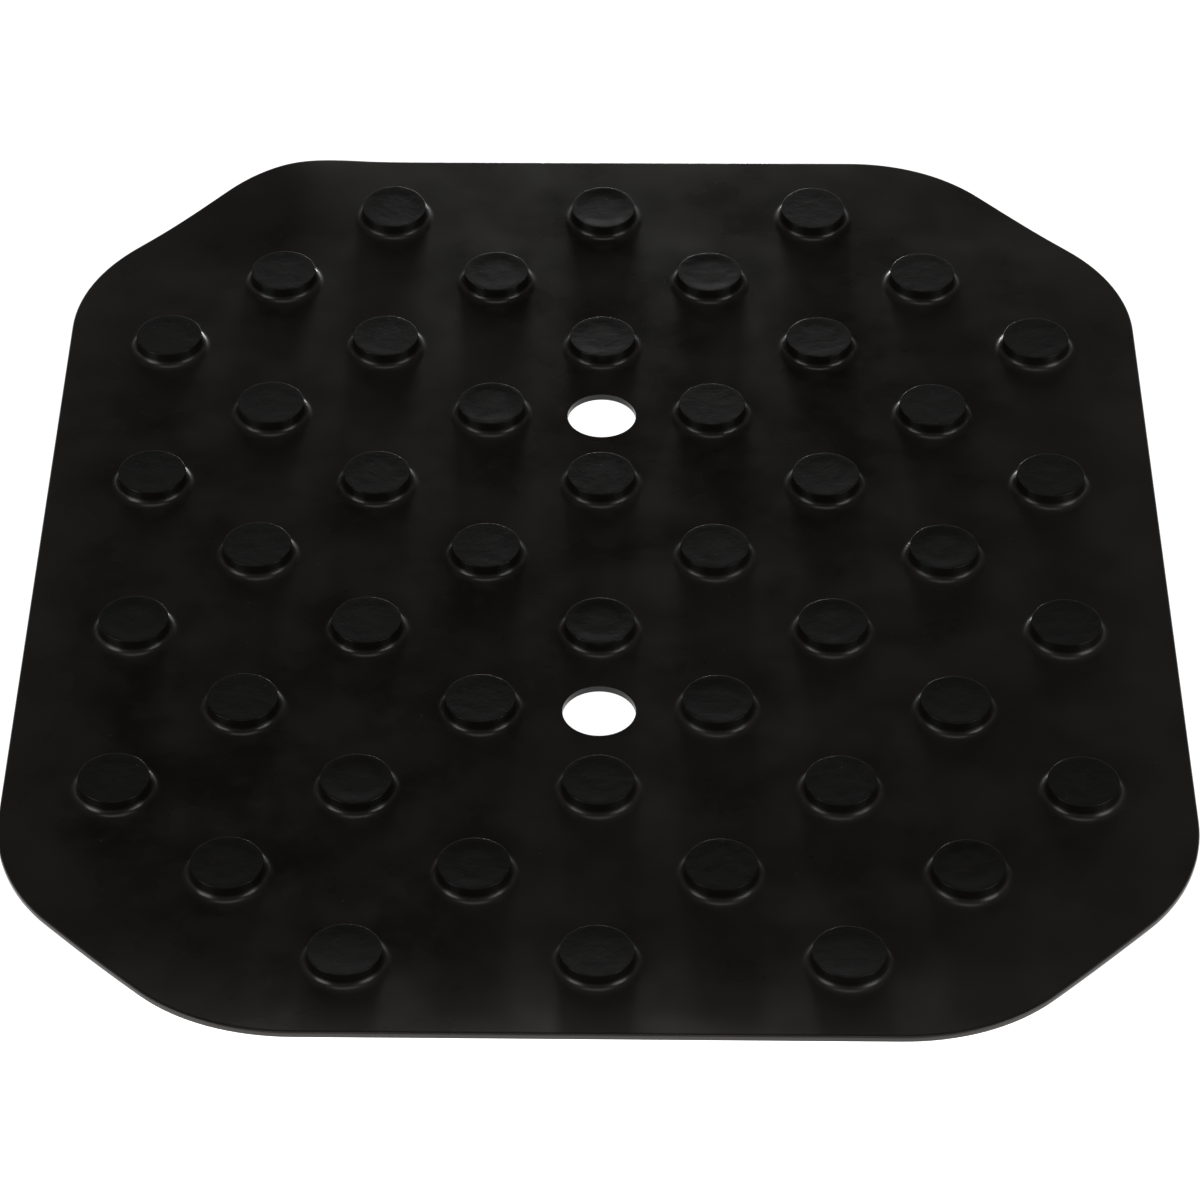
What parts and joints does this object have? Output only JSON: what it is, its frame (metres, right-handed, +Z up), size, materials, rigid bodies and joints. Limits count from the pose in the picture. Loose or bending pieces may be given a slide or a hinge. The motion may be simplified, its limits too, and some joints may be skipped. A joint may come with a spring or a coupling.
{
  "type": "snowboard stomp pad",
  "caption": "Thin black rubber traction pad with round studs and a peel-and-stick backing, bonded to a snowboard's deck for a loose boot to stand on.",
  "frame": {"origin": "middle of the pad on the underside of the release liner, the surface that the pad lies on", "axes": "+Z up out of the studs; +Y along the pad's length, from the front half of the liner to the rear half; +X across its width"},
  "size_m": [0.148, 0.176, 0.0044],
  "materials": {
    "rubber": "satin",
    "adhesive": "matte",
    "liner": "satin"
  },
  "bodies": {
    "root": {"rubber_pad": "rubber", "adhesive_sheet": "adhesive", "release_liner_front": "liner", "release_liner_rear": "liner"}
  },
  "joints": []
}
